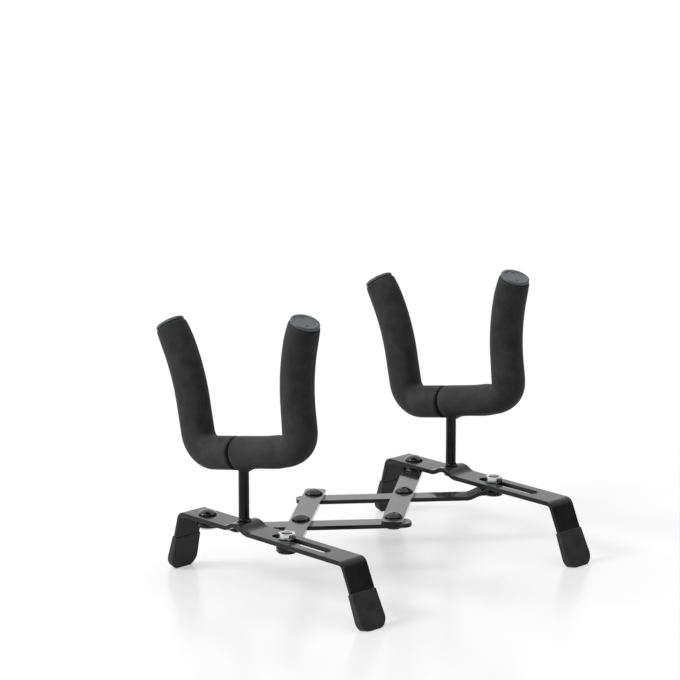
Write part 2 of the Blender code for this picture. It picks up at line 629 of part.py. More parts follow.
def build():
    clear_scene()
    steel = material("black_steel", (0.012, 0.012, 0.013), 0.22, 0.0)
    zinc = material("bright_zinc", (0.72, 0.73, 0.74), 0.28, 1.0)
    rubber = material("black_rubber", (0.018, 0.018, 0.018), 0.7, 0.0)
    foam = material("grey_foam", (0.045, 0.046, 0.048), 0.92, 0.0)
    plastic = material("grey_plastic", (0.14, 0.15, 0.16), 0.5, 0.0)

    # Where the joints are, as (x, y)
    left, right = -HALF_SPACING, HALF_SPACING
    cross_y = REAR_PIVOT - PIVOT_DEPTH / 2
    joints = {
        "left_rear": (left, REAR_PIVOT), "right_rear": (right, REAR_PIVOT),
        "left_slide": (left, -FRONT_PIVOT), "right_slide": (right, -FRONT_PIVOT),
        "left_cross": (-QUARTER_SPACING, cross_y), "right_cross": (QUARTER_SPACING, cross_y),
        "rear_middle": (0, REAR_PIVOT), "front_middle": (0, -FRONT_PIVOT),
    }

    # The empties stand on the joint axes and chain as the bodies do
    root = pivot("stand", (0, 0, 0), None)
    left_side = pivot("left_side", (left, 0, 0), root)
    left_lower = pivot("left_lower_link_pivot", (*joints["left_rear"], 0), left_side)
    left_upper = pivot("left_cross_pivot", (*joints["left_cross"], 0), left_lower)
    right_upper = pivot("middle_pivot", (*joints["front_middle"], 0), left_lower)
    right_lower = pivot("right_cross_pivot", (*joints["right_cross"], 0), right_upper)
    right_side = pivot("right_side_pivot", (*joints["right_rear"], 0), right_upper)

    side_pieces = [
        ("base_strip", base_strip(), steel),
        ("front_foot", foot(foot_corner(FRONT_BEND, FRONT_SPLAY), FRONT_SPLAY, 1), rubber),
        ("rear_foot", foot(foot_corner(REAR_BEND, REAR_SPLAY), REAR_SPLAY, -1), rubber),
        ("post", post(), steel),
        ("post_rivet", post_rivet(), steel),
        ("cradle_rod", cradle_solid([(d, ROD / 2) for d in cradle_stations(
            GAP + PLUG_STEM - REAR_LENGTH, FRONT_LENGTH - PLUG_STEM - GAP)], MEDIUM), steel),
        ("front_sleeve", sleeve(GAP / 2 - SLEEVE_SEAM, FRONT_LENGTH, SLEEVE / 2, SLEEVE_TIP / 2), foam),
        ("rear_sleeve", sleeve(-REAR_LENGTH, -SLEEVE_SEAM - GAP / 2, SLEEVE_TIP / 2, SLEEVE / 2), foam),
        ("front_plug", plug(FRONT_LENGTH, 1), plastic),
        ("rear_plug", plug(-REAR_LENGTH, -1), plastic),
        ("rear_bolt", moved(rear_bolt(), (0, REAR_PIVOT, 0)), steel),
        ("rear_washer", moved(washer(), (0, REAR_PIVOT, 0)), zinc),
        ("rear_nut", moved(push_nut(), (0, REAR_PIVOT, 0)), zinc),
    ]
    for side, x, carrier in (("left", left, left_side), ("right", right, right_side)):
        for name, mesh, look in side_pieces:
            place(f"{side}_{name}", mesh, look, carrier, (x, 0, 0))

    # A link's +X end is the one at the middle rivets
    rear_to_front = LINK_ANGLE - pi / 2
    front_to_rear = pi / 2 - LINK_ANGLE
    upper, lower = link(False), link(True)
    place("left_upper_link", upper, steel, left_upper, (*joints["left_cross"], 0), front_to_rear)
    place("left_lower_link", lower, steel, left_lower, (*joints["left_cross"], 0), rear_to_front)
    place("right_upper_link", upper, steel, right_upper, (*joints["right_cross"], 0), front_to_rear + pi)
    place("right_lower_link", lower, steel, right_lower, (*joints["right_cross"], 0), rear_to_front + pi)

    pin = rivet()
    for name, spot, carrier in (("left_cross_rivet", "left_cross", left_lower),
                                ("right_cross_rivet", "right_cross", right_upper),
                                ("rear_middle_rivet", "rear_middle", left_upper),
                                ("front_middle_rivet", "front_middle", right_upper)):
        place(name, pin, steel, carrier, (*joints[spot], 0))
    slide_pieces = [("bolt", slide_bolt(), steel), ("washer", washer(), zinc), ("nut", nut(), zinc)]
    for side, carrier in (("left", left_upper), ("right", right_lower)):
        for name, mesh, look in slide_pieces:
            place(f"{side}_slide_{name}", mesh, look, carrier, (*joints[f"{side}_slide"], 0))

    shift = centre_on_floor(root)
    print(f"fold: {degrees(-CLOSES_BY):.3f} to {degrees(OPENS_BY):.3f} degrees, link reach {LINK_REACH:.6f}")
    for name, (x, y) in joints.items():
        print(f"{name}: {x + shift[0]:.6f} {y + shift[1]:.6f}")


def centre_on_floor(root):
    # Move the stand so that the origin is on the floor under the middle of its outer box
    graph = bpy.context.evaluated_depsgraph_get()
    corners = []
    for item in bpy.data.objects:
        if item.type == "MESH":
            seen = item.evaluated_get(graph)
            corners += [seen.matrix_world @ vert.co for vert in seen.data.vertices]
    shift = [-(min(c[axis] for c in corners) + max(c[axis] for c in corners)) / 2 for axis in (0, 1)]
    root.location = (shift[0], shift[1], 0)
    bpy.context.view_layer.update()
    return shift


build()
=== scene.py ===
import json
from math import atan2, ceil, cos, exp, pi, radians, sin, sqrt, tan

import bmesh
import bpy
from mathutils import Matrix, Vector, noise


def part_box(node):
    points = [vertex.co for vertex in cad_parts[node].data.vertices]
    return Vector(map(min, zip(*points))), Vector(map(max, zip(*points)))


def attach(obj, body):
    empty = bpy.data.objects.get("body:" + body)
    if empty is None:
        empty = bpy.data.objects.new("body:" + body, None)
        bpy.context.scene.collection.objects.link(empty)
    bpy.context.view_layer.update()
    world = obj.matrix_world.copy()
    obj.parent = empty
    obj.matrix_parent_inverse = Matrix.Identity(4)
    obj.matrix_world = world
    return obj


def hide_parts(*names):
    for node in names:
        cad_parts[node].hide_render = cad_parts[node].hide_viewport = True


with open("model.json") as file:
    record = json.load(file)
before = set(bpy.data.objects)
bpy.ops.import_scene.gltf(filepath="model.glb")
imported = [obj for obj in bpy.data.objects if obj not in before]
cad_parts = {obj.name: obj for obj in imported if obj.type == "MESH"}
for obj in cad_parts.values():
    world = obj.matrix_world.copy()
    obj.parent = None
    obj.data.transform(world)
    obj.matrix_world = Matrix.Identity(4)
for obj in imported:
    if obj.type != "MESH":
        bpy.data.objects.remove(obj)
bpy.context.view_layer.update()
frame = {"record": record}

mm = 0.001
gap = 0.3 * mm  # between neighbouring pieces, as in the solids

bodyOf = {node: body for body, nodes in frame["record"]["behaviour"]["bodies"].items() for node in nodes}


def middleOf(node):
    low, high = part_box(node)
    return (low + high) / 2


posts = {side: middleOf(f"{side}_post_rivet") for side in ("left", "right")}


# Mesh helpers

def meshFrom(work):
    bmesh.ops.recalc_face_normals(work, faces=work.faces)
    mesh = bpy.data.meshes.new("shape")
    work.to_mesh(mesh)
    work.free()
    return mesh


def skinRings(rings, loop=False):
    # quads between rings of as many points, with a cap at each end unless the row is a loop
    work = bmesh.new()
    rows = [[work.verts.new(point) for point in ring] for ring in rings]
    pairs = list(zip(rows, rows[1:])) + ([(rows[-1], rows[0])] if loop else [])
    count = len(rows[0])
    for first, second in pairs:
        for index in range(count):
            after = (index + 1) % count
            work.faces.new((first[index], first[after], second[after], second[index]))
    if not loop:
        work.faces.new(rows[0])
        work.faces.new(rows[-1])
    return meshFrom(work)


def plate(outline, low, high):
    # flat plate from (x, y) points
    return skinRings([[(x, y, low) for x, y in outline], [(x, y, high) for x, y in outline]])


def arc(centre, radius, start, turn, steps):
    return [(centre[0] + radius * cos(start + turn * step / steps),
             centre[1] + radius * sin(start + turn * step / steps)) for step in range(steps + 1)]


def rod(radius, low, high, centre, sides=40):
    return plate(arc((centre[0], centre[1]), radius, 0, 2 * pi * (sides - 1) / sides, sides - 1), low, high)


def softened(points, amount, loop=False, steps=4):
    # round the corners of a profile
    corners = [Vector(point) for point in points]
    count = len(corners)
    smooth = []
    for index, corner in enumerate(corners):
        if not loop and index in (0, count - 1):
            smooth.append(corner)
            continue
        before = corners[index - 1] - corner
        after = corners[(index + 1) % count] - corner
        half = before.angle(after) / 2
        if half > radians(78):
            smooth.append(corner)
            continue
        cut = min(amount / tan(half), before.length * 0.45, after.length * 0.45)
        first = corner + before.normalized() * cut
        last = corner + after.normalized() * cut
        for step in range(steps + 1):
            share = step / steps
            smooth.append(first.lerp(corner, share).lerp(corner.lerp(last, share), share))
    return [(point.x, point.y) for point in smooth]


def turned(profile, centre, loop=False, sides=48):
    # solid of revolution from (radius, height) points
    rings = []
    for radius, height in profile:
        rings.append([(centre.x + radius * cos(2 * pi * step / sides),
                       centre.y + radius * sin(2 * pi * step / sides), height) for step in range(sides)])
    return skinRings(rings, loop)


def domeProfile(radius, foot, height, steps=12):
    ball = (radius ** 2 + height ** 2) / (2 * height)
    half = atan2(radius, ball - height)
    shares = [1 - step / steps for step in range(steps)] + [0.03]
    return [(ball * sin(half * share), foot + height - ball + ball * cos(half * share)) for share in shares]


def shapedBy(mesh, steps):
    # the mesh after a row of modifiers, each (kind, settings)
    body = bpy.data.objects.new("body", mesh)
    bpy.context.scene.collection.objects.link(body)
    for kind, settings in steps:
        modifier = body.modifiers.new("step", kind)
        for name, value in settings.items():
            setattr(modifier, name, value)
    graph = bpy.context.evaluated_depsgraph_get()
    result = bpy.data.meshes.new_from_object(body.evaluated_get(graph), preserve_all_data_layers=True,
                                             depsgraph=graph)
    bpy.data.objects.remove(body, do_unlink=True)
    return result


def worked(mesh, cuts=(), within=(), edge=0.0, after=()):
    # trim and cut with other meshes, round the edges, then make the last cuts
    steps, tools = [], []
    for operation, shapes in (("INTERSECT", within), ("DIFFERENCE", cuts), ("ROUND", [None]), ("DIFFERENCE", after)):
        for shape in shapes:
            if shape is None:
                if edge:
                    steps.append(("BEVEL", {"width": edge, "segments": 3, "limit_method": "ANGLE",
                                            "angle_limit": radians(40)}))
                continue
            tool = bpy.data.objects.new("tool", shape)
            bpy.context.scene.collection.objects.link(tool)
            tools.append(tool)
            steps.append(("BOOLEAN", {"operation": operation, "solver": "EXACT", "object": tool}))
    result = shapedBy(mesh, steps)
    for tool in tools:
        bpy.data.objects.remove(tool, do_unlink=True)
    return result


def putOn(name, mesh, node, look):
    # a finished piece that stands for its node
    mesh.shade_smooth()
    mesh.set_sharp_from_angle(angle=radians(50))
    mesh = shapedBy(mesh, [("WEIGHTED_NORMAL", {"keep_sharp": True})])
    mesh.materials.clear()
    mesh.materials.append(look)
    piece = bpy.data.objects.new(name, mesh)
    bpy.context.scene.collection.objects.link(piece)
    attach(piece, bodyOf[node])
    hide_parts(node)
    return piece


def walk(start, heading, moves, distance):
    # point (ahead, up) and heading at a distance along straight runs and bends, each (length, turn)
    ahead, up = start
    for run, turn in moves + [(1e9, 0)]:
        step = min(distance, run)
        turnedBy = turn * step / run
        if turn == 0:
            ahead += step * cos(heading)
            up += step * sin(heading)
        else:
            radius = run / turn
            ahead += radius * (sin(heading + turnedBy) - sin(heading))
            up += radius * (cos(heading) - cos(heading + turnedBy))
        heading += turnedBy
        distance -= step
        if distance <= 0:
            break
    return ahead, up, heading


# Shader groups that the finishes share

def newGroup(name, inputs, outputs):
    group = bpy.data.node_groups.new(name, "ShaderNodeTree")
    for label, value in inputs.items():
        socket = group.interface.new_socket(name=label, in_out="INPUT", socket_type="NodeSocketFloat")
        socket.default_value = value
    for label in outputs:
        group.interface.new_socket(name=label, in_out="OUTPUT", socket_type="NodeSocketFloat")
    return group, group.nodes.new("NodeGroupInput"), group.nodes.new("NodeGroupOutput")


def grainGroup():
    # a fine grain for bump and a slow drift for colour, both in object space
    group, entry, leave = newGroup("surfaceGrain", {"Fine": 2000.0, "Broad": 40.0}, ["Grain", "Drift"])
    nodes, links = group.nodes, group.links
    place = nodes.new("ShaderNodeTexCoord")
    for label, output, detail in (("Fine", "Grain", 3.0), ("Broad", "Drift", 3.0)):
        cloud = nodes.new("ShaderNodeTexNoise")
        cloud.inputs["Detail"].default_value = detail
        links.new(place.outputs["Object"], cloud.inputs["Vector"])
        links.new(entry.outputs[label], cloud.inputs["Scale"])
        links.new(cloud.outputs["Fac"], leave.inputs[output])
    return group


def dustAndSheenGroup():
    # a thin film on faces that look up, thicker in patches: dust, and on the enamel also painted sheen, tops lightened
    # in place of their reflection
    group, entry, leave = newGroup("dustAndPaintedSheenFilm", {"Amount": 0.3, "Scale": 120.0}, ["Mask"])
    nodes, links = group.nodes, group.links
    place = nodes.new("ShaderNodeTexCoord")
    cloud = nodes.new("ShaderNodeTexNoise")
    cloud.inputs["Detail"].default_value = 5.0
    cloud.inputs["Roughness"].default_value = 0.65
    links.new(place.outputs["Object"], cloud.inputs["Vector"])
    links.new(entry.outputs["Scale"], cloud.inputs["Scale"])
    patches = nodes.new("ShaderNodeMapRange")
    patches.inputs["From Min"].default_value = 0.3
    patches.inputs["From Max"].default_value = 0.75
    links.new(cloud.outputs["Fac"], patches.inputs["Value"])
    split = nodes.new("ShaderNodeSeparateXYZ")
    links.new(nodes.new("ShaderNodeNewGeometry").outputs["Normal"], split.inputs["Vector"])
    upward = nodes.new("ShaderNodeMapRange")
    upward.inputs["From Min"].default_value = 0.5
    links.new(split.outputs["Z"], upward.inputs["Value"])
    both = nodes.new("ShaderNodeMath")
    both.operation = "MULTIPLY"
    links.new(patches.outputs["Result"], both.inputs[0])
    links.new(upward.outputs["Result"], both.inputs[1])
    scaled = nodes.new("ShaderNodeMath")
    scaled.operation = "MULTIPLY"
    links.new(both.outputs["Value"], scaled.inputs[0])
    links.new(entry.outputs["Amount"], scaled.inputs[1])
    links.new(scaled.outputs["Value"], leave.inputs["Mask"])
    return group


grain = grainGroup()
dustAndSheen = dustAndSheenGroup()


def newMaterial(name):
    made = bpy.data.materials.new(name)
    made.use_nodes = True
    return made, made.node_tree.nodes, made.node_tree.links, made.node_tree.nodes["Principled BSDF"]


def useGroup(nodes, group, **values):
    node = nodes.new("ShaderNodeGroup")
    node.node_tree = group
    for label, value in values.items():
        node.inputs[label].default_value = value
    return node


def shades(nodes, links, factor, low, high, start=0.35, end=0.65):
    ramp = nodes.new("ShaderNodeValToRGB")
    ramp.color_ramp.elements[0].position = start
    ramp.color_ramp.elements[1].position = end
    ramp.color_ramp.elements[0].color = (*low, 1)
    ramp.color_ramp.elements[1].color = (*high, 1)
    links.new(factor, ramp.inputs["Fac"])
    return ramp.outputs["Color"]


def between(nodes, links, factor, low, high):
    spread = nodes.new("ShaderNodeMapRange")
    spread.inputs["From Min"].default_value = 0.3
    spread.inputs["From Max"].default_value = 0.7
    spread.inputs["To Min"].default_value = low
    spread.inputs["To Max"].default_value = high
    links.new(factor, spread.inputs["Value"])
    return spread.outputs["Result"]


def blendColours(nodes, links, mask, under, over):
    mix = nodes.new("ShaderNodeMix")
    mix.data_type = "RGBA"
    links.new(mask, mix.inputs["Factor"])
    links.new(under, mix.inputs[6])
    mix.inputs[7].default_value = (*over, 1)
    return mix.outputs[2]


def addBump(nodes, links, shader, height, depth):
    bump = nodes.new("ShaderNodeBump")
    bump.inputs["Strength"].default_value = 1.0
    bump.inputs["Distance"].default_value = depth
    links.new(height, bump.inputs["Height"])
    links.new(bump.outputs["Normal"], shader.inputs["Normal"])


# Black enamel, with a slight orange peel, and a light film on faces that look up: thin dust, and painted sheen for the
# reflection that lightens the tops
stripEnamel = {"dark": (0.013, 0.013, 0.0135), "light": (0.020, 0.020, 0.0205), "dustAndSheen": (0.12, 0.12, 0.12),
               "rough": (0.06, 0.12), "peel": 520.0, "drift": 60.0, "peelDepth": 0.02 * mm, "dustAndSheenFilm": 0.2,
               "ior": 1.2, "coat": 0.7, "coatRough": 0.14, "coatIor": 1.2}
linkEnamel = dict(stripEnamel, dark=(0.004, 0.004, 0.0045), light=(0.008, 0.008, 0.0085), dustAndSheenFilm=0.5,
                  rough=(0.05, 0.11), ior=1.24, coat=1.0, coatRough=0.08, coatIor=1.24)
postEnamel = dict(stripEnamel, dark=(0.004, 0.004, 0.0045), light=(0.007, 0.007, 0.0075), dustAndSheenFilm=0.0)
headEnamel = dict(postEnamel, rough=(0.10, 0.18), coat=0.6, ior=1.4, coatRough=0.12, coatIor=1.5)


def enamelFinish(name, look):
    made, nodes, links, shader = newMaterial(name)
    texture = useGroup(nodes, grain, Fine=look["peel"], Broad=look["drift"])
    # the film lightens and dulls the faces that look up: dust, and painted sheen for their reflection
    dustAndSheenFilm = useGroup(nodes, dustAndSheen, Amount=look["dustAndSheenFilm"], Scale=140.0)
    paint = shades(nodes, links, texture.outputs["Drift"], look["dark"], look["light"])
    links.new(blendColours(nodes, links, dustAndSheenFilm.outputs["Mask"], paint, look["dustAndSheen"]), shader.inputs["Base Color"])
    gloss = between(nodes, links, texture.outputs["Drift"], *look["rough"])
    duller = nodes.new("ShaderNodeMath")
    duller.operation = "MULTIPLY_ADD"
    links.new(dustAndSheenFilm.outputs["Mask"], duller.inputs[0])
    duller.inputs[1].default_value = 0.5
    links.new(gloss, duller.inputs[2])
    links.new(duller.outputs["Value"], shader.inputs["Roughness"])
    addBump(nodes, links, shader, texture.outputs["Grain"], look["peelDepth"])
    shader.inputs["IOR"].default_value = look["ior"]
    shader.inputs["Coat Weight"].default_value = look["coat"]
    shader.inputs["Coat Roughness"].default_value = look["coatRough"]
    shader.inputs["Coat IOR"].default_value = look["coatIor"]
    return made


# Bright zinc plate on nuts and washers
zincPlate = {"dark": (0.58, 0.59, 0.61), "light": (0.80, 0.81, 0.82), "rough": (0.16, 0.34), "fine": 1800.0,
             "drift": 260.0, "depth": 0.012 * mm}


def zincFinish(look):
    made, nodes, links, shader = newMaterial("zincPlate")
    texture = useGroup(nodes, grain, Fine=look["fine"], Broad=look["drift"])
    links.new(shades(nodes, links, texture.outputs["Drift"], look["dark"], look["light"]), shader.inputs["Base Color"])
    links.new(between(nodes, links, texture.outputs["Drift"], *look["rough"]), shader.inputs["Roughness"])
    addBump(nodes, links, shader, texture.outputs["Grain"], look["depth"])
    shader.inputs["Metallic"].default_value = 1.0
    return made


# Moulded black rubber, matt, with a little dust in its grain
bootRubber = {"dark": (0.026, 0.026, 0.0265), "light": (0.042, 0.042, 0.0425), "dustAndSheen": (0.07, 0.07, 0.068),
              "rough": (0.40, 0.60), "fine": 2600.0, "drift": 150.0, "depth": 0.05 * mm, "dustAndSheenFilm": 0.2, "ior": 1.3}


def rubberFinish(look):
    made, nodes, links, shader = newMaterial("bootRubber")
    texture = useGroup(nodes, grain, Fine=look["fine"], Broad=look["drift"])
    dustAndSheenFilm = useGroup(nodes, dustAndSheen, Amount=look["dustAndSheenFilm"], Scale=300.0)
    base = shades(nodes, links, texture.outputs["Drift"], look["dark"], look["light"])
    links.new(blendColours(nodes, links, dustAndSheenFilm.outputs["Mask"], base, look["dustAndSheen"]), shader.inputs["Base Color"])
    links.new(between(nodes, links, texture.outputs["Drift"], *look["rough"]), shader.inputs["Roughness"])
    addBump(nodes, links, shader, texture.outputs["Grain"], look["depth"])
    shader.inputs["IOR"].default_value = look["ior"]
    return made


# Closed-cell foam tube: fine cells in its skin, their pits darkened by painted shade, and a soft sheen
sleeveFoam = {"dark": (0.024, 0.0242, 0.025), "light": (0.041, 0.0412, 0.0422), "pitShade": (0.010, 0.010, 0.010),
              "rough": (0.50, 0.70), "cells": 2300.0, "drift": 130.0, "depth": 0.10 * mm, "sheen": 0.05,
              "ior": 1.22}


def foamFinish(look):
    made, nodes, links, shader = newMaterial("sleeveFoam")
    texture = useGroup(nodes, grain, Fine=look["cells"] * 0.7, Broad=look["drift"])
    place = nodes.new("ShaderNodeTexCoord")
    cells = nodes.new("ShaderNodeTexVoronoi")
    cells.inputs["Scale"].default_value = look["cells"]
    links.new(place.outputs["Object"], cells.inputs["Vector"])
    pitDepthAndShade = nodes.new("ShaderNodeMapRange")
    pitDepthAndShade.inputs["From Min"].default_value = 0.08
    pitDepthAndShade.inputs["From Max"].default_value = 0.30
    pitDepthAndShade.inputs["To Min"].default_value = 1.0
    pitDepthAndShade.inputs["To Max"].default_value = 0.0
    links.new(cells.outputs["Distance"], pitDepthAndShade.inputs["Value"])
    # the cells' pits are painted darker: painted shade in their hollows
    base = shades(nodes, links, texture.outputs["Drift"], look["dark"], look["light"])
    links.new(blendColours(nodes, links, pitDepthAndShade.outputs["Result"], base, look["pitShade"]), shader.inputs["Base Color"])
    links.new(between(nodes, links, texture.outputs["Drift"], *look["rough"]), shader.inputs["Roughness"])
    skin = nodes.new("ShaderNodeMath")
    skin.operation = "SUBTRACT"
    links.new(texture.outputs["Grain"], skin.inputs[0])
    links.new(pitDepthAndShade.outputs["Result"], skin.inputs[1])
    addBump(nodes, links, shader, skin.outputs["Value"], look["depth"])
    shader.inputs["IOR"].default_value = look["ior"]
    shader.inputs["Sheen Weight"].default_value = look["sheen"]
    shader.inputs["Sheen Roughness"].default_value = 0.45
    return made


# Grey moulded discs in the ends of the sleeves
plugPlastic = {"dark": (0.058, 0.064, 0.069), "light": (0.098, 0.105, 0.110), "rough": (0.34, 0.52),
               "fine": 1500.0, "drift": 320.0, "depth": 0.04 * mm}


def plasticFinish(look):
    made, nodes, links, shader = newMaterial("plugPlastic")
    texture = useGroup(nodes, grain, Fine=look["fine"], Broad=look["drift"])
    links.new(shades(nodes, links, texture.outputs["Drift"], look["dark"], look["light"]), shader.inputs["Base Color"])
    links.new(between(nodes, links, texture.outputs["Drift"], *look["rough"]), shader.inputs["Roughness"])
    addBump(nodes, links, shader, texture.outputs["Grain"], look["depth"])
    return made


sideSteel = enamelFinish("stripEnamel", stripEnamel)
linkSteel = enamelFinish("linkEnamel", linkEnamel)
postSteel = enamelFinish("postEnamel", postEnamel)
headSteel = enamelFinish("headEnamel", headEnamel)
zinc = zincFinish(zincPlate)
rubber = rubberFinish(bootRubber)
foam = foamFinish(sleeveFoam)
plastic = plasticFinish(plugPlastic)
print("finishes made")

# Base strips: flat bar bent down into two legs, slotted, and arched up under the post
strip = {
    "width": 16 * mm,
    "thick": 2.4 * mm,
    "top": 32.5 * mm,
    "rearBend": 42 * mm,  # from the post to the corner of the top face
    "frontBend": 80.5 * mm,
    "rearSplay": radians(15),
    "frontSplay": radians(24),
    "bendRadius": 3.4 * mm,
    "archHeight": 2.65 * mm,
    "archLength": 18.6 * mm,
    "archAhead": 1.5 * mm,
    "slot": (25.376 * mm, 59.785 * mm),
    "hole": 2.8 * mm,
    "rivetHole": 1.8 * mm,
    "legCorner": 5 * mm,
    "edge": 0.5 * mm,
}
stripMid = strip["top"] - strip["thick"] / 2
archTurn = 2 * atan2(strip["archHeight"], strip["archLength"] / 2)
archRadius = strip["archLength"] / 4 / sin(archTurn)


def archLevel(ahead, offset):
    # height of the arch's mid line, moved square to itself
    half = strip["archLength"] / 2
    out = abs(ahead - strip["archAhead"])
    if out <= (archRadius + offset) * sin(archTurn):
        return stripMid + strip["archHeight"] - archRadius + sqrt((archRadius + offset) ** 2 - out ** 2)
    if out < half:
        return stripMid + archRadius - sqrt((archRadius - offset) ** 2 - (half - out) ** 2)
    return stripMid + offset


def legLength(splay):
    return (stripMid - boot["floor"] - strip["thick"] / 2 * sin(splay)) / cos(splay)


def midCorner(distance, splay):
    # where the strip's mid line would turn, from the corner of its top face
    return distance - strip["thick"] / 2 * tan((pi / 2 - splay) / 2)


def stripBar(side):
    s, post = strip, posts[side]
    rearTurn, frontTurn = pi / 2 - s["rearSplay"], pi / 2 - s["frontSplay"]
    rearTangent, frontTangent = (s["bendRadius"] * tan(turn / 2) for turn in (rearTurn, frontTurn))
    rearCorner = midCorner(s["rearBend"], s["rearSplay"])
    frontCorner = midCorner(s["frontBend"], s["frontSplay"])
    rearLeg = legLength(s["rearSplay"])
    half = s["archLength"] / 2
    moves = [(rearLeg - rearTangent, 0), (s["bendRadius"] * rearTurn, -rearTurn),
             (rearCorner - rearTangent - half + s["archAhead"], 0), (archRadius * archTurn, archTurn),
             (2 * archRadius * archTurn, -2 * archTurn), (archRadius * archTurn, archTurn),
             (frontCorner - frontTangent - half - s["archAhead"], 0), (s["bendRadius"] * frontTurn, -frontTurn),
             (legLength(s["frontSplay"]) - frontTangent, 0)]
    start = (-rearCorner - rearLeg * cos(rearTurn), stripMid - rearLeg * sin(rearTurn))
    spots = [0.0]
    for run, turn in moves:
        steps = max(1, ceil(abs(turn) / radians(4)))
        spots += [spots[-1] + run * step / steps for step in range(1, steps + 1)]
    length = spots[-1]
    corner = s["legCorner"]
    near = [corner * (1 - cos(radians(30 * step))) for step in range(4)]
    inner = [spot for spot in spots if corner < spot < length - corner]
    rings = []
    for distance in sorted(near + [length - spot for spot in near] + inner):
        ahead, up, heading = walk(start, rearTurn, moves, distance)
        short = max(0, corner - min(distance, length - distance))
        across = s["width"] / 2 - corner + sqrt(corner ** 2 - short ** 2)
        ring = []
        for lift, ways in ((s["thick"] / 2, (-across, across)), (-s["thick"] / 2, (across, -across))):
            for way in ways:
                ring.append((post.x + way, post.y - ahead + lift * sin(heading), up + lift * cos(heading)))
        rings.append(ring)
    low, high = 20 * mm, 45 * mm
    slot = (arc((post.x, post.y - s["slot"][0]), s["hole"], 0, pi, 16)
            + arc((post.x, post.y - s["slot"][1]), s["hole"], pi, pi, 16))
    cuts = [plate(slot, low, high), rod(s["hole"], low, high, middleOf(f"{side}_rear_bolt"))]
    return worked(skinRings(rings), cuts=cuts, edge=s["edge"], after=[rod(s["rivetHole"], low, high, post)])


# Rubber boots on the legs
boot = {
    "wall": 0.6 * mm,
    "snug": 0.1 * mm,  # between the leg and the boot
    "lip": 0.3 * mm,  # wall at its open end
    "floor": 2 * mm,
    "length": 19 * mm,
    "frontCorner": 6 * mm,
    "rearCorner": 7.2 * mm,
    "edge": 0.5 * mm,
}


def bootOutline(half, low, high, corner):
    return (arc((half - corner, low + corner), corner, -pi / 2, pi / 2, 12) + [(half, high), (-half, high)]
            + arc((corner - half, low + corner), corner, pi, pi / 2, 12))


def rubberBoot(side, corner, splay, outward):
    # drawn flat as (across, distance up the leg), then leaned and set where the leg meets the floor
    s, b, post = strip, boot, posts[side]
    inner = s["thick"] / 2 + b["snug"]
    thick = s["thick"] / 2 + gap + b["wall"]
    legEnd = stripMid / cos(splay) - legLength(splay)
    across = s["width"] / 2 + b["snug"]
    bottom = b["frontCorner"] if outward > 0 else b["rearCorner"]
    body = plate(bootOutline(across + b["wall"], -thick * tan(splay), b["length"], bottom), -thick, thick)
    for vert in body.vertices:
        if vert.co.y > b["length"] - gap:
            vert.co.x *= (across + b["lip"]) / (across + b["wall"])
            vert.co.z *= (inner + b["lip"]) / thick
    pocket = plate(bootOutline(across, legEnd - b["snug"], b["length"] + inner, s["legCorner"] + b["snug"]),
                   -inner, inner)
    at = outward * (corner + stripMid * tan(splay))
    place = (Matrix.Translation((post.x, post.y - at, 0)) @ Matrix.Rotation(-outward * splay, 4, "X")
             @ Matrix.Rotation(pi / 2, 4, "X"))
    body.transform(place)
    pocket.transform(place)
    reach = b["length"]
    below = plate([(post.x - reach, post.y - at - reach), (post.x + reach, post.y - at - reach),
                   (post.x + reach, post.y - at + reach), (post.x - reach, post.y - at + reach)], -reach, 0)
    return worked(body, edge=b["edge"], after=[below, pocket])


for side in ("left", "right"):
    putOn(f"{side}_strip", stripBar(side), f"{side}_base_strip", sideSteel)
    for end, distance, splay, outward in (("front", strip["frontBend"], strip["frontSplay"], 1),
                                          ("rear", strip["rearBend"], strip["rearSplay"], -1)):
        putOn(f"{side}_{end}_boot", rubberBoot(side, midCorner(distance, splay), splay, outward),
              f"{side}_{end}_foot", rubber)
print("strips and boots made")

# Cradle: its route in (length, turn) runs from the post, ahead and behind
cradle = {
    "height": 70.6 * mm,
    "slope": radians(10.7),
    "rod": 2.75 * mm,
    "frontArm": 42.5 * mm,
    "rearArm": 32.5 * mm,
    "frontLean": radians(-5),
    "rearLean": radians(12),
    "bend": 11 * mm,
    "straight": 15 * mm,
    "flareRadius": 100 * mm,
    "flareTurn": radians(24),
}


def makeRoutes():
    c = cradle
    made = {}
    for name, corner, turn, flare in (
            ("front", c["frontArm"], pi / 2 - c["frontLean"] - c["slope"], -c["flareTurn"]),
            ("rear", c["rearArm"], c["rearLean"] - c["slope"] - pi / 2, c["flareTurn"])):
        seat = corner / cos(c["slope"]) - c["bend"] * tan(abs(turn) / 2)
        made[name] = [(seat, 0), (abs(c["bend"] * turn), turn), (c["straight"], 0),
                      (abs(c["flareRadius"] * flare), flare)]
    return made


routes = makeRoutes()
frontEnd = sum(run for run, turn in routes["front"])
rearEnd = sum(run for run, turn in routes["rear"])


def routeAt(distance):
    # behind the post the distance is negative
    if distance >= 0:
        return walk((0, cradle["height"]), cradle["slope"], routes["front"], distance)
    ahead, up, heading = walk((0, cradle["height"]), pi + cradle["slope"], routes["rear"], -distance)
    return ahead, up, heading - pi


def ringAt(side, distance, radiusAt, sides):
    ahead, up, heading = routeAt(distance)
    ring = []
    for index in range(sides):
        around = 2 * pi * index / sides
        radius = radiusAt(around)
        lift = radius * cos(around)
        ring.append((posts[side].x + radius * sin(around), posts[side].y - (ahead - lift * sin(heading)),
                     up + lift * cos(heading)))
    return ring


# Posts: round rod welded to the arch below and to the cradle rod above
upright = {
    "radius": 2.75 * mm,
    "weld": 1.2 * mm,  # fillet round its foot
    "rim": 0.3 * mm,
    "bore": 1.8 * mm,  # for the rivet's shank
    "boreReach": 5.3 * mm,
}


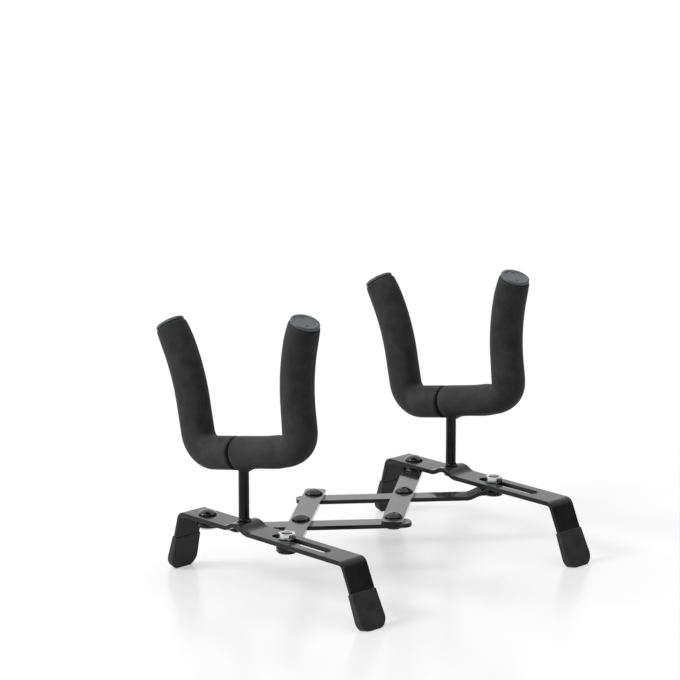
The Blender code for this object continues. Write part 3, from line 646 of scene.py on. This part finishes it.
def uprightMesh(side):
    u, post = upright, posts[side]
    crest = strip["top"] + strip["archHeight"]
    top = strip["thick"] / 2 + gap
    slope = cradle["slope"]

    def around(radius, levelAt):
        ring = []
        for step in range(48):
            turn = 2 * pi * step / 48
            ahead, across = radius * cos(turn), radius * sin(turn)
            ring.append((post.x + across, post.y - ahead, levelAt(ahead, across)))
        return ring

    def onArch(lift):
        return lambda ahead, across: archLevel(ahead, top) + lift

    def underRod(ahead, across):
        return cradle["height"] + ahead * tan(slope) - sqrt((cradle["rod"] + gap) ** 2 - across ** 2) / cos(slope)

    rings = [around(u["bore"], lambda ahead, across: crest + u["boreReach"]), around(u["bore"], onArch(0))]
    rings.append(around(u["radius"] + u["weld"], onArch(0)))
    for step in range(9):
        turn = pi / 2 * step / 8
        ripple = 0.05 * mm * (step % 8 > 0)
        rings.append(around(u["radius"] + u["weld"] * (1 - sin(turn)) + ripple,
                            onArch(u["rim"] + u["weld"] * (1 - cos(turn)))))
    rings.append(around(u["radius"], lambda ahead, across: crest + 3 * mm))
    for share in (1, 0.7, 0.4, 0.1):
        rings.append(around(u["radius"] * share, underRod))
    return skinRings(rings)


def uprightRivet(side):
    # its domed head fills the hollow under the arch, and its shank goes up into the post
    post = posts[side]
    under = strip["top"] - strip["thick"]
    head, dome, shank = 3.6 * mm, 1.4 * mm, 1.5 * mm

    def level(height):
        return lambda ahead: height

    def hollow(ahead):
        return archLevel(ahead, -strip["thick"] / 2 - gap)

    rings = [(radius, level(2 * under - height)) for radius, height in reversed(domeProfile(head, under, dome))]
    rings += [(head, hollow), (0.75 * head, hollow), (shank, hollow)]
    rings += [(shank, level(strip["top"] + strip["archHeight"] + 4.8 * mm)),
              (shank - 0.3 * mm, level(strip["top"] + strip["archHeight"] + 5 * mm))]
    points = []
    for radius, levelAt in rings:
        turns = [2 * pi * step / 48 for step in range(48)]
        points.append([(post.x + radius * sin(turn), post.y - radius * cos(turn), levelAt(radius * cos(turn)))
                       for turn in turns])
    return skinRings(points)


for side in ("left", "right"):
    putOn(f"{side}_upright", uprightMesh(side), f"{side}_post", postSteel)
    putOn(f"{side}_upright_rivet", uprightRivet(side), f"{side}_post_rivet", sideSteel)
print("posts made")

# Foam sleeves
foamSleeve = {
    "radius": 8.75 * mm,
    "tip": 8.2 * mm,  # where the end plug draws it in
    "taper": 12 * mm,
    "round": 1.2 * mm,
    "seamRound": 1.1 * mm,
    "bore": 3.05 * mm,
    "sides": 72,
    "step": 1.1 * mm,
    "swell": 0.12 * mm,
    "seamAhead": 3.1 * mm,  # ends of the two sleeves, behind the post
    "seamBehind": 4.7 * mm,
    "slant": 1.3 * mm,  # the front sleeve's end leans, so that the gap widens below
    "slantReach": 9 * mm,
    "lip": 1.2 * mm,  # pushed out by the post
    "lipReach": 4 * mm,
    "flat": 0.9 * mm,  # drawn in below, ahead of the post
    "pinch": 1.7 * mm,  # stretched thin on the outside of the front bend
    "pinchAt": 37 * mm,
    "pinchReach": 7 * mm,
    "heel": 0.5 * mm,  # and full again above it
    "heelAt": 51 * mm,
    "bunch": 0.6 * mm,  # pushed up on the bend's inside
    "bunchAt": 28 * mm,
}


def sleeveMesh(side, first, last):
    f = foamSleeve
    rounds = {first: f["round"] if first < -rearEnd + mm else f["seamRound"],
              last: f["round"] if last > frontEnd - mm else f["seamRound"]}
    count = ceil((last - first) / f["step"])
    spots = [first + (last - first) * index / count for index in range(count + 1)]

    def skinRadius(distance, inset=0.0):
        radius = f["radius"] - inset
        for end in (first, last):
            if rounds[end] == f["round"]:
                share = 1 - min(1, abs(distance - end) / f["taper"])
                radius -= (f["radius"] - f["tip"]) * share * share

        def radiusAt(around):
            spot = Vector((distance * 60, sin(around) * 0.8, cos(around) * 0.8))
            below, above = (1 - cos(around)) / 2, (1 + cos(around)) / 2
            shaped = f["lip"] * exp(-(distance / f["lipReach"]) ** 2) * below ** 6
            if distance > 0:
                shaped -= f["flat"] * exp(-((distance - 20 * mm) / (16 * mm)) ** 4) * below ** 2
                shaped -= f["pinch"] * exp(-((distance - f["pinchAt"]) / f["pinchReach"]) ** 2) * below ** 1.5
                shaped += f["heel"] * exp(-((distance - f["heelAt"]) / f["pinchReach"]) ** 2) * below ** 1.5
                shaped += f["bunch"] * exp(-((distance - f["bunchAt"]) / f["pinchReach"]) ** 2) * above ** 2
            return radius - f["swell"] * (0.5 + 0.5 * noise.noise(spot)) + shaped
        return radiusAt

    rings = []
    for step in range(6):
        turn = pi / 2 * step / 5
        at = first + rounds[first] * (1 - sin(turn))
        rings.append(ringAt(side, at, skinRadius(at, rounds[first] * (1 - cos(turn))), f["sides"]))
    rings.reverse()
    rings += [ringAt(side, at, skinRadius(at), f["sides"]) for at in spots
              if first + rounds[first] * 1.2 < at < last - rounds[last] * 1.2]
    for step in range(6):
        turn = pi / 2 * step / 5
        at = last - rounds[last] * (1 - sin(turn))
        rings.append(ringAt(side, at, skinRadius(at, rounds[last] * (1 - cos(turn))), f["sides"]))
    inner = [ringAt(side, at, lambda around: f["bore"], f["sides"]) for at in reversed(spots)]
    tube = skinRings(rings + inner, loop=True)
    if first < 0 < last:
        ahead = Vector((0, -cos(cradle["slope"]), sin(cradle["slope"])))
        above = Vector((0, sin(cradle["slope"]), cos(cradle["slope"])))
        for vert in tube.vertices:
            place = vert.co - Vector((posts[side].x, posts[side].y, cradle["height"]))
            near = max(0, 1 - (place.dot(ahead) - first) / f["slantReach"])
            low = max(0, 1 - place.dot(above) / f["radius"]) / 2
            vert.co += ahead * f["slant"] * near * low
        hole = rod(upright["radius"] + 0.12 * mm, 50 * mm, cradle["height"] - 2 * gap, posts[side])
        tube = worked(tube, cuts=[hole])
    return tube


# Discs in the ends of the sleeves
endPlug = {
    "disc": 7.62 * mm,
    "thick": 1.65 * mm,
    "round": 0.7 * mm,
    "dish": 0.5 * mm,
    "stem": 8 * mm,
    "mark": 0.9 * mm,  # two shallow marks of the mould
    "markOut": 4.2 * mm,
    "markTurn": radians(62),
}


def plugMesh(side, tip, outward):
    p = endPlug
    face = tip + outward * gap
    top = face + outward * p["thick"]
    rim = p["disc"]
    profile = softened([(0, cradle["rod"]), (p["stem"] + gap, cradle["rod"]), (p["stem"] + gap, rim),
                        (p["stem"] + gap + p["thick"], rim)], 0.3 * mm, steps=3)[:-1]
    start = tip - outward * p["stem"]
    rings = [(start + outward * along, radius) for along, radius in profile]
    for step in range(7):
        turn = pi / 2 * step / 6
        rings.append((top - outward * p["round"] * (1 - sin(turn)), rim - p["round"] * (1 - cos(turn))))
    for step in range(9):
        share = step / 8
        rings.append((top - outward * p["dish"] * (1 - cos(pi * share)) / 2,
                      rim - p["round"] - 0.5 * mm - 1.4 * mm * share))
    rings.append((top - outward * p["dish"], 0.5 * mm))
    body = skinRings([ringAt(side, at, lambda around: radius, 64) for at, radius in rings])
    ahead, up, heading = routeAt(top)
    along = Vector((0, -cos(heading), sin(heading))) * outward
    across = Vector((1, 0, 0))
    third = along.cross(across)
    marks = []
    for way in (-1, 1):
        spot = (Vector((posts[side].x, posts[side].y - ahead, up)) - along * (p["dish"] + 0.22 * mm)
                + (across * cos(p["markTurn"]) + third * sin(p["markTurn"])) * way * p["markOut"])
        rings = []
        for lift in (0, 3 * mm):
            rings.append([spot + along * lift + (across * cos(2 * pi * step / 24) + third * sin(2 * pi * step / 24))
                          * p["mark"] for step in range(24)])
        marks.append(skinRings(rings))
    return worked(body, cuts=marks)


def cradleRod(side):
    # bent round rod from plug to plug
    radius, soft = cradle["rod"], 0.3 * mm
    first, last = endPlug["stem"] + gap - rearEnd, frontEnd - endPlug["stem"] - gap
    count = ceil((last - first) / foamSleeve["step"])
    rings = [(first, radius - soft), (first + soft, radius)]
    rings += [(first + (last - first) * index / count, radius) for index in range(1, count)]
    rings += [(last - soft, radius), (last, radius - soft)]
    return skinRings([ringAt(side, at, lambda around: size, 40) for at, size in rings])


for side in ("left", "right"):
    putOn(f"{side}_rod", cradleRod(side), f"{side}_cradle_rod", sideSteel)
    for end, first, last, outward in (("front", -foamSleeve["seamAhead"], frontEnd, 1),
                                      ("rear", -rearEnd, -foamSleeve["seamBehind"], -1)):
        piece = putOn(f"{side}_{end}_foam", sleeveMesh(side, first, last), f"{side}_{end}_sleeve", foam)
        putOn(f"{side}_{end}_disc", plugMesh(side, last if outward > 0 else first, outward),
              f"{side}_{end}_plug", plastic)
print("rods, sleeves and discs made")

# Links of the lazy tongs
link = {
    "width": 11 * mm,
    "thick": 2.2 * mm,
    "top": 28.5 * mm,  # of an upper link, and of a lower one's raised end
    "step": 2.5 * mm,
    "tail": 9.5 * mm,
    "upperCorner": 2.5 * mm,
    "lowerCorner": 4.5 * mm,
    "joggleStart": 6.5 * mm,
    "joggleRun": 8.3 * mm,
    "boltHole": 2.8 * mm,
    "rivetHole": 2.5 * mm,
    "edge": 0.45 * mm,
}


def linkBar(crossNode, endNode, joggled):
    # drawn along X about the cross rivet, with the strip's end at -X
    k = link
    cross, end = middleOf(crossNode), middleOf(endNode)
    away = Vector((cross.x - end.x, cross.y - end.y))
    reach = away.length
    corner = k["lowerCorner"] if joggled else k["upperCorner"]
    top = k["top"] - (k["step"] if joggled else 0)
    half = k["width"] / 2
    inner = reach + k["tail"] - corner
    outline = (arc((inner, corner - half), corner, -pi / 2, pi / 2, 10)
               + arc((inner, half - corner), corner, 0, pi / 2, 10) + arc((-reach, 0), half, pi / 2, pi, 32))
    bar = plate(outline, top - k["thick"], top)
    if joggled:
        work = bmesh.new()
        work.from_mesh(bar)
        low = -reach + k["joggleStart"] + k["joggleRun"]
        for step in range(25):
            bmesh.ops.bisect_plane(work, geom=work.verts[:] + work.edges[:] + work.faces[:],
                                   plane_co=(low - k["joggleRun"] * step / 24, 0, 0), plane_no=(1, 0, 0))
        for vert in work.verts:
            share = min(1, max(0, (low - vert.co.x) / k["joggleRun"]))
            vert.co.z += k["step"] * (1 - cos(pi * share)) / 2
        bar = meshFrom(work)
    holes = [rod(k["boltHole"], 15 * mm, 40 * mm, (-reach, 0)), rod(k["rivetHole"], 15 * mm, 40 * mm, (0, 0)),
             rod(k["rivetHole"], 15 * mm, 40 * mm, (reach, 0))]
    mesh = worked(bar, cuts=holes, edge=k["edge"])
    mesh.transform(Matrix.Translation((cross.x, cross.y, 0)) @ Matrix.Rotation(atan2(away.y, away.x), 4, "Z"))
    return mesh


for name, crossSide, end, joggled in (("left_upper", "left", "left_slide_bolt", False),
                                      ("left_lower", "left", "left_rear_bolt", True),
                                      ("right_upper", "right", "right_rear_bolt", False),
                                      ("right_lower", "right", "right_slide_bolt", True)):
    putOn(f"{name}_bar", linkBar(f"{crossSide}_cross_rivet", end, joggled), f"{name}_link", linkSteel)
print("links made")

# Rivets, bolts, nuts and washers
rivet = {"shank": 2.2 * mm, "head": 4.8 * mm, "dome": 2.3 * mm, "tail": 4.1 * mm, "tailHeight": 0.8 * mm,
         "rim": 0.45 * mm}
bolt = {"shank": 2.5 * mm, "head": 4.8 * mm, "rearDome": 2.4 * mm, "slideDome": 1.2 * mm, "rim": 0.45 * mm,
        "standsOut": 0.3 * mm, "chamfer": 0.5 * mm}
nut = {"flat": 4 * mm, "height": 2.7 * mm, "chamfer": 0.5 * mm, "hole": 2.8 * mm, "collar": 3.3 * mm}
pushNut = {"radius": 4.2 * mm, "height": 0.9 * mm, "slope": 0.4 * mm, "hole": 2.8 * mm}
washer = {"radius": 5 * mm, "hole": 2.8 * mm}


def rivetMesh(centre):
    r = rivet
    tailTop = link["top"] - link["step"] - link["thick"] - gap
    seat = link["top"] + gap
    low = tailTop - r["tailHeight"]
    profile = softened([(0.3 * mm, low), (r["tail"], low), (r["tail"], tailTop), (r["shank"], tailTop),
                        (r["shank"], seat), (r["head"], seat), (r["head"], seat + r["rim"])], 0.22 * mm)
    return turned(profile[:-1] + domeProfile(r["head"], seat + r["rim"], r["dome"] - r["rim"]), centre)


def boltMesh(centre, seat, end, height):
    b = bolt
    outward = 1 if seat > end else -1
    profile = softened([(0.3 * mm, end), (b["shank"] - b["chamfer"], end), (b["shank"], end + outward * b["chamfer"]),
                        (b["shank"], seat), (b["head"], seat), (b["head"], seat + outward * b["rim"])], 0.15 * mm)
    cap = [(radius, seat + outward * rise) for radius, rise in domeProfile(b["head"], b["rim"], height - b["rim"])]
    return turned(profile[:-1] + cap, centre)


def ringMesh(centre, corners, amount=0.12 * mm):
    return turned(softened(corners, amount, loop=True, steps=3), centre, loop=True)


def nutMesh(centre):
    n = nut
    low = strip["top"] + gap
    high = low + n["height"]
    corner = n["flat"] / cos(pi / 6)
    hexagon = plate([(centre.x + corner * cos(pi / 3 * side), centre.y + corner * sin(pi / 3 * side))
                     for side in range(6)], low, high)
    wide = 3 * n["flat"]
    near = n["flat"] - n["chamfer"]
    cone = turned([(0.5 * mm, low - n["chamfer"]), (near, low - n["chamfer"]), (wide, low + n["chamfer"]),
                   (wide, high - n["chamfer"]), (near, high + n["chamfer"]), (0.5 * mm, high + n["chamfer"])],
                  centre, sides=96)
    return worked(hexagon, within=[cone], cuts=[rod(n["hole"], 20 * mm, 50 * mm, centre)], edge=0.14 * mm)


linkLow = link["top"] - link["thick"]
for node in ("left_cross_rivet", "right_cross_rivet", "rear_middle_rivet", "front_middle_rivet"):
    putOn(node.replace("rivet", "pin"), rivetMesh(middleOf(node)), node, headSteel)
for side in ("left", "right"):
    rear, slide = middleOf(f"{side}_rear_bolt"), middleOf(f"{side}_slide_bolt")
    pushTop = linkLow - gap
    pushLow = pushTop - pushNut["height"]
    washerLow, washerHigh = link["top"] + gap, strip["top"] - strip["thick"] - gap
    putOn(f"{side}_rear_pin", boltMesh(rear, strip["top"] + gap, pushLow - bolt["standsOut"], bolt["rearDome"]),
          f"{side}_rear_bolt", headSteel)
    putOn(f"{side}_slide_pin",
          boltMesh(slide, linkLow - gap, strip["top"] + gap + nut["height"] + bolt["standsOut"], bolt["slideDome"]),
          f"{side}_slide_bolt", headSteel)
    for where, centre in (("rear", rear), ("slide", slide)):
        putOn(f"{side}_{where}_ring",
              ringMesh(centre, [(washer["hole"], washerLow), (washer["radius"], washerLow),
                                (washer["radius"], washerHigh), (washer["hole"], washerHigh)]),
              f"{side}_{where}_washer", zinc)
    edge = pushNut["radius"]
    putOn(f"{side}_rear_pushnut",
          ringMesh(rear, [(pushNut["hole"], pushLow), (edge - pushNut["slope"], pushLow),
                          (edge, (pushLow + pushTop) / 2), (edge, pushTop), (pushNut["hole"], pushTop)]),
          f"{side}_rear_nut", zinc)
    putOn(f"{side}_slide_hexnut", nutMesh(slide), f"{side}_slide_nut", zinc)
print("fasteners made")

# Floor, light and camera
studio = {
    "floorHalf": 6.0,
    "floorSeen": 0.45,
    "floorGlow": 0.42,  # seen only, so that the shadow stays faint
    "floorBounce": 0.40,
    "key": 62.0,
    "world": 1.0,
    "dim": 0.06,  # the world's level low down, in front of the stand and to its right
    "dimWay": (0.2, -0.98, 0.0),
}
view = {"lens": 172.23, "yaw": radians(43.857), "pitch": radians(13.442), "place": (-1.13582, -1.16166, 0.50808)}


def makeFloor():
    mesh = bpy.data.meshes.new("floor")
    half = studio["floorHalf"]
    mesh.from_pydata([(-half, -half, 0), (half, -half, 0), (half, half, 0), (-half, half, 0)], [],
                     [(0, 1, 2, 3)])
    floor = bpy.data.objects.new("floor", mesh)
    bpy.context.scene.collection.objects.link(floor)
    made, nodes, links, shader = newMaterial("floorPaper")
    path = nodes.new("ShaderNodeLightPath")
    seen = path.outputs["Is Camera Ray"]
    for label in ("Is Glossy Ray", "Is Transmission Ray"):
        most = nodes.new("ShaderNodeMath")
        most.operation = "MAXIMUM"
        links.new(seen, most.inputs[0])
        links.new(path.outputs[label], most.inputs[1])
        seen = most.outputs["Value"]
    for socket, unseen, level in (("Base Color", studio["floorBounce"], studio["floorSeen"]),
                                  ("Emission Color", 0.0, studio["floorGlow"])):
        mix = nodes.new("ShaderNodeMix")
        mix.data_type = "RGBA"
        links.new(seen, mix.inputs["Factor"])
        mix.inputs[6].default_value = (unseen,) * 3 + (1,)
        mix.inputs[7].default_value = (level,) * 3 + (1,)
        links.new(mix.outputs[2], shader.inputs[socket])
    shader.inputs["Emission Strength"].default_value = 1.0
    shader.inputs["Roughness"].default_value = 0.22
    shader.inputs["Specular IOR Level"].default_value = 0.15
    floor.data.materials.append(made)


def makeLamp(name, place, size, power):
    lamp = bpy.data.lights.new(name, "AREA")
    lamp.shape = "DISK"
    lamp.size = size
    lamp.energy = power
    holder = bpy.data.objects.new(name, lamp)
    holder.location = place
    holder.rotation_euler = (Vector((0, 0, 0.05)) - Vector(place)).to_track_quat("-Z", "Y").to_euler()
    bpy.context.scene.collection.objects.link(holder)


def makeWorld():
    # white all round, and dim low down in front of the stand, as a dark room is, but white behind it in any view
    world = bpy.data.worlds.new("studioWorld")
    world.use_nodes = True
    bpy.context.scene.world = world
    nodes, links = world.node_tree.nodes, world.node_tree.links
    way = nodes.new("ShaderNodeTexCoord").outputs["Generated"]
    facing = nodes.new("ShaderNodeVectorMath")
    facing.operation = "DOT_PRODUCT"
    facing.inputs[1].default_value = studio["dimWay"]
    links.new(way, facing.inputs[0])
    split = nodes.new("ShaderNodeSeparateXYZ")
    links.new(way, split.inputs["Vector"])
    ahead = nodes.new("ShaderNodeMapRange")
    ahead.interpolation_type = "SMOOTHSTEP"
    ahead.inputs["From Min"].default_value = -0.3
    ahead.inputs["From Max"].default_value = 0.35
    links.new(facing.outputs["Value"], ahead.inputs["Value"])
    low = nodes.new("ShaderNodeMapRange")
    low.interpolation_type = "SMOOTHSTEP"
    low.inputs["From Min"].default_value = 0.75
    low.inputs["From Max"].default_value = 0.2
    links.new(split.outputs["Z"], low.inputs["Value"])
    unseen = nodes.new("ShaderNodeMath")
    unseen.operation = "SUBTRACT"
    unseen.inputs[0].default_value = 1.0
    links.new(nodes.new("ShaderNodeLightPath").outputs["Is Camera Ray"], unseen.inputs[1])
    darkness = ahead.outputs["Result"]
    for share in (low.outputs["Result"], unseen.outputs["Value"]):
        product = nodes.new("ShaderNodeMath")
        product.operation = "MULTIPLY"
        links.new(darkness, product.inputs[0])
        links.new(share, product.inputs[1])
        darkness = product.outputs["Value"]
    mix = nodes.new("ShaderNodeMix")
    mix.data_type = "RGBA"
    links.new(darkness, mix.inputs["Factor"])
    mix.inputs[6].default_value = (1, 1, 1, 1)
    mix.inputs[7].default_value = (studio["dim"],) * 3 + (1,)
    links.new(mix.outputs[2], nodes["Background"].inputs["Color"])
    nodes["Background"].inputs["Strength"].default_value = studio["world"]


def makeCamera():
    lens = bpy.data.cameras.new("camera")
    lens.lens = view["lens"]
    lens.sensor_width = 36
    lens.clip_start = 0.05
    lens.shift_x = -0.0087
    holder = bpy.data.objects.new("camera", lens)
    holder.location = view["place"]
    aim = Vector((sin(view["yaw"]) * cos(view["pitch"]), cos(view["yaw"]) * cos(view["pitch"]),
                  -sin(view["pitch"])))
    holder.rotation_euler = aim.to_track_quat("-Z", "Y").to_euler()
    bpy.context.scene.collection.objects.link(holder)
    bpy.context.scene.camera = holder


makeFloor()
makeWorld()
makeLamp("keyLamp", (-2.4, 1.3, 2.3), 1.2, studio["key"])
makeCamera()
bpy.context.scene.view_settings.view_transform = "Standard"
print("studio made")
